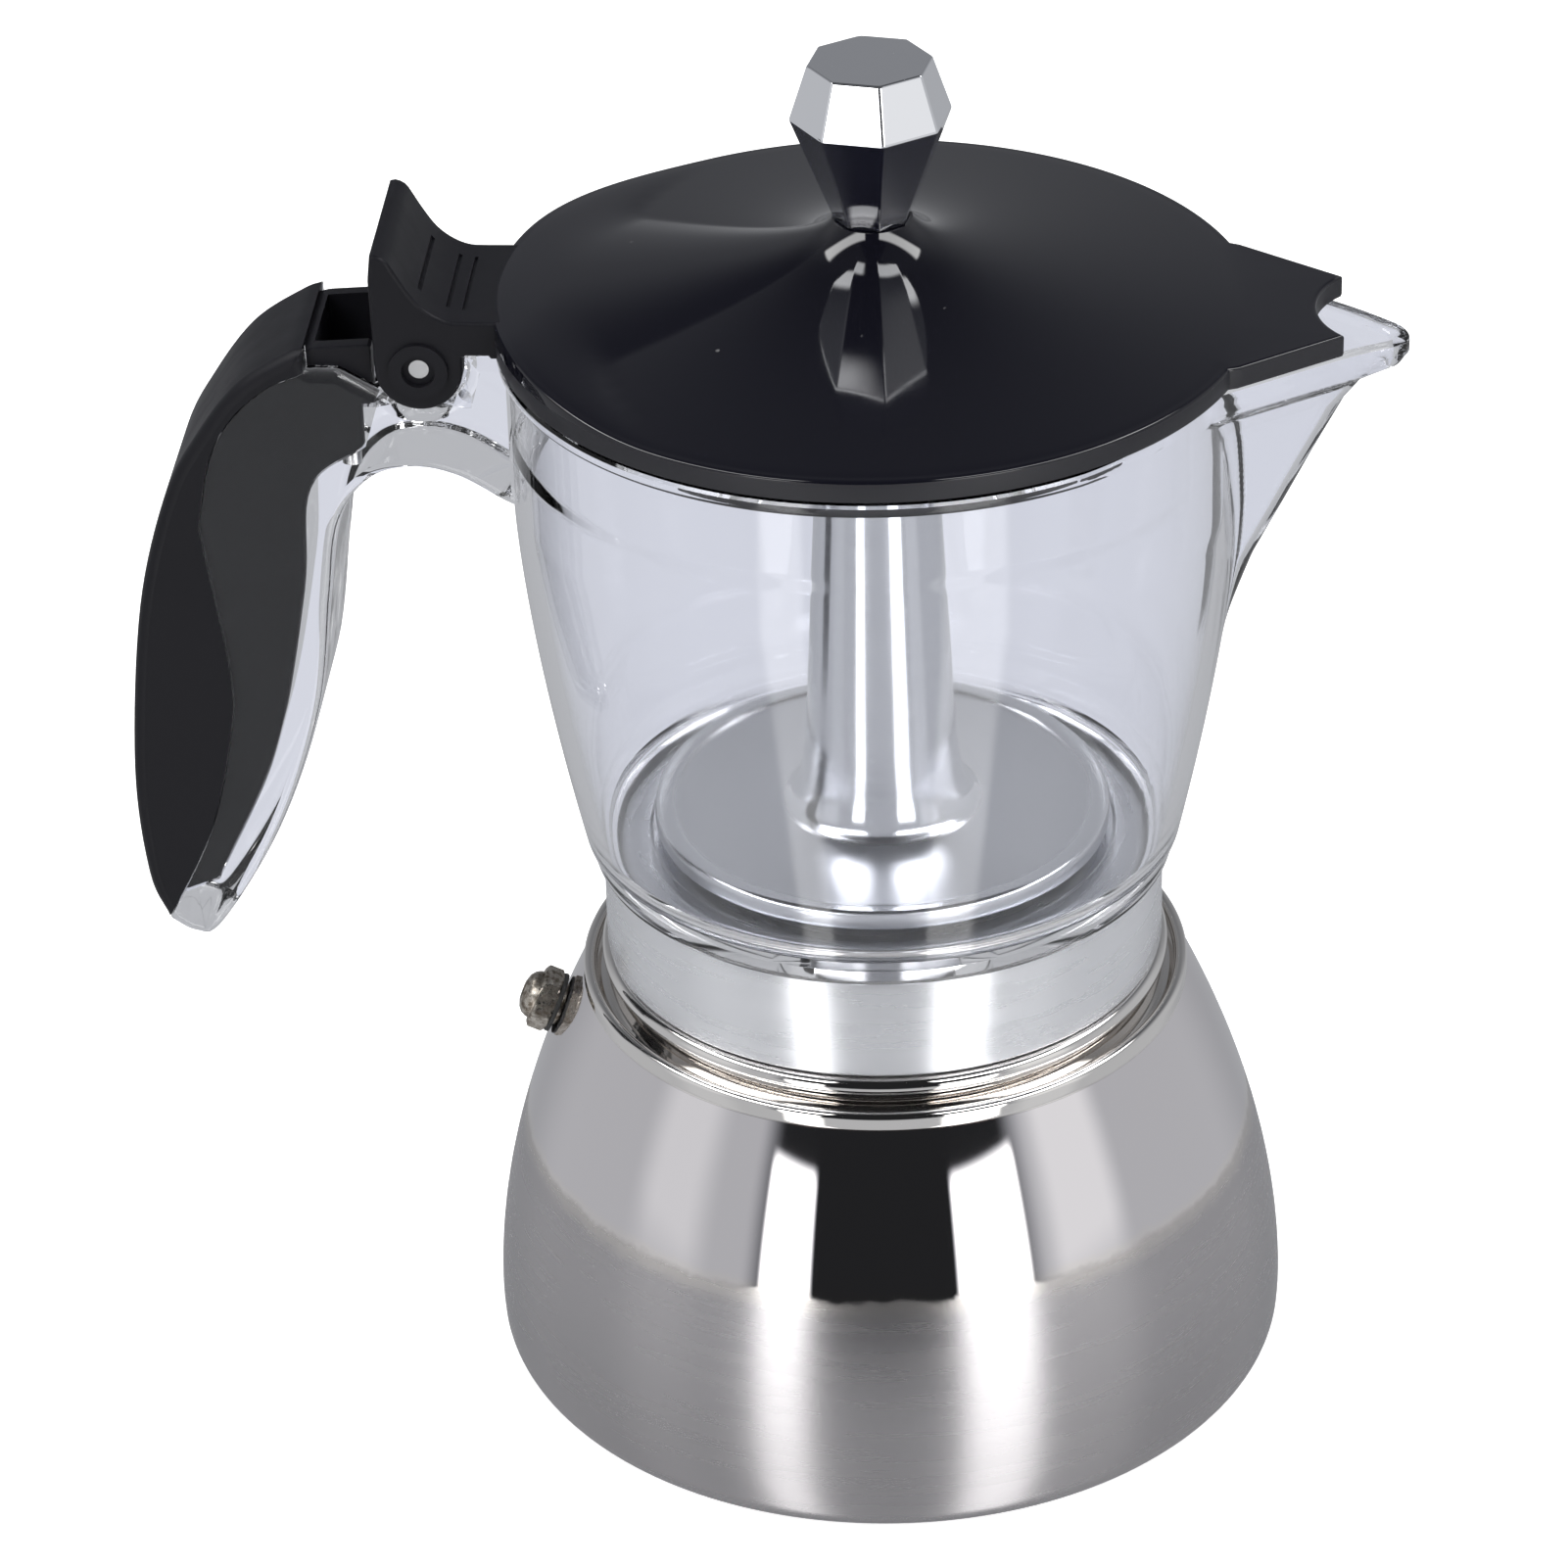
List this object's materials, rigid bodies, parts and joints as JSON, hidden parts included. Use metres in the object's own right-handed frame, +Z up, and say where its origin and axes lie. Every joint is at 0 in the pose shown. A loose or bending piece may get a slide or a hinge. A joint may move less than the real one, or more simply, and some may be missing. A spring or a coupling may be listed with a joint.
{
  "type": "moka pot",
  "caption": "Stovetop coffee maker: steel boiler with funnel and safety valve, threaded collar, clear jug with spout and handle, hinged lever lid with a faceted knob.",
  "frame": {"origin": "centre of the base disc's underside, on the pot's axis", "axes": "+Z up along the pot's axis, +X towards the spout, the handle at -X, +Y to the left of the spout"},
  "size_m": [0.1632, 0.1058, 0.1849],
  "materials": {
    "brushed_steel_shell": "brushed below and mirror-polished at the shoulder",
    "polished_steel": "mirror-polished drawn steel",
    "base_steel": "satin",
    "valve_nickel": "nickel-plated brass, worn dark",
    "spring_steel": "bright wire",
    "washer_rubber": "matte",
    "satin_aluminium": "satin",
    "seal_silicone": "matte silicone",
    "clear_copolyester": "clear and glossy",
    "dark_plastic": "finely textured",
    "gloss_dark_plastic": "glossy",
    "chrome": "mirror",
    "steel_pin": "satin"
  },
  "bodies": {
    "boiler": {"boiler_shell": "brushed_steel_shell", "boiler_neck": "polished_steel", "base_disc": "base_steel", "valve_body": "valve_nickel", "valve_washer": "washer_rubber", "valve_nut": "valve_nickel", "valve_spring": "spring_steel", "funnel": "satin_aluminium", "funnel_tube": "satin_aluminium", "funnel_filter": "satin_aluminium"},
    "seal": {"gasket": "seal_silicone", "filter_plate": "satin_aluminium"},
    "upper": {"collar": "satin_aluminium", "column": "satin_aluminium", "column_cap": "satin_aluminium", "jug_seal": "seal_silicone", "jug": "clear_copolyester", "grip": "clear_copolyester", "handle_insert": "dark_plastic", "handle_screws": "steel_pin", "hinge_pin": "steel_pin"},
    "lid": {"lid": "gloss_dark_plastic", "knob": "chrome", "knob_screw": "steel_pin"},
    "valve_pin": {"valve_pin": "valve_nickel"}
  },
  "joints": [
    {"name": "top_lift", "type": "slide", "parent": "boiler", "child": "seal", "axis": [0, 0, 1], "range_m": [0, 0.009]},
    {"name": "top_turn", "type": "hinge", "parent": "seal", "child": "upper", "pos_m": [0, 0, 0], "axis": [0, 0, 1], "range_deg": [0, 1080]},
    {"name": "lid_hinge", "type": "hinge", "parent": "upper", "child": "lid", "pos_m": [-0.056, 0, 0.1477], "axis": [0, -1, 0], "range_deg": [0, 58]},
    {"name": "valve_lift", "type": "slide", "parent": "boiler", "child": "valve_pin", "axis": [-0.9227, 0.0322, 0.3842], "range_m": [0, 0.001], "stiffness_N_per_m": 2000, "springref_m": -0.001, "deforming": ["valve_spring"]}
  ],
  "couplings": [
    {"joint": "top_lift", "follows": "top_turn", "m_per_rad": 0.00047746}
  ]
}
